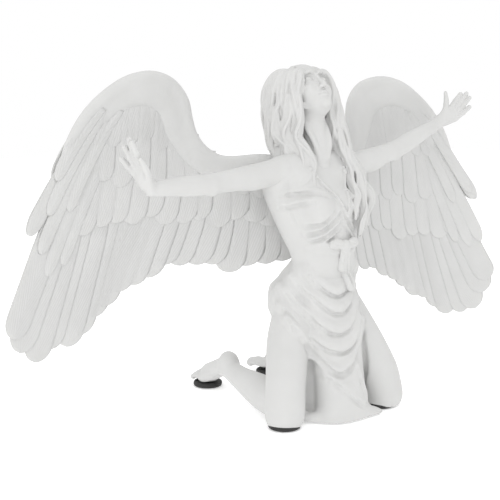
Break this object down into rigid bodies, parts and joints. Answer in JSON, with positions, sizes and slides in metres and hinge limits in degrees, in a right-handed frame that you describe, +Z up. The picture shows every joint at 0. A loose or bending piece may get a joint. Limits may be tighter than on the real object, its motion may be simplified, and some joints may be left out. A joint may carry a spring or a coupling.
{
  "type": "angel figurine",
  "caption": "Kneeling winged figurine in white cast resin, arms spread, face lifted, standing on round rubber pads.",
  "frame": {"origin": "on the ground under the middle of the whole object", "axes": "+Z up; the figure faces -Y; +X is the figure's own left side, along the wing span"},
  "size_m": [0.3951, 0.1405, 0.2219],
  "materials": {
    "resin": "matt white cast resin",
    "pin_steel": "plain steel dowel",
    "pad_rubber": "matt black rubber"
  },
  "bodies": {
    "root": {"gown_body": "resin", "head_and_hair": "resin", "right_arm": "resin", "left_arm": "resin", "right_wing": "resin", "left_wing": "resin", "sash_bow": "resin", "right_lower_leg": "resin", "left_lower_leg": "resin", "neck_pin": "pin_steel", "right_shoulder_pin": "pin_steel", "left_shoulder_pin": "pin_steel", "right_wing_pin_lower": "pin_steel", "right_wing_pin_upper": "pin_steel", "left_wing_pin_lower": "pin_steel", "left_wing_pin_upper": "pin_steel", "right_knee_pin": "pin_steel", "left_knee_pin": "pin_steel", "right_knee_pad": "pad_rubber", "left_knee_pad": "pad_rubber", "right_toe_pad": "pad_rubber", "left_toe_pad": "pad_rubber"}
  },
  "joints": []
}
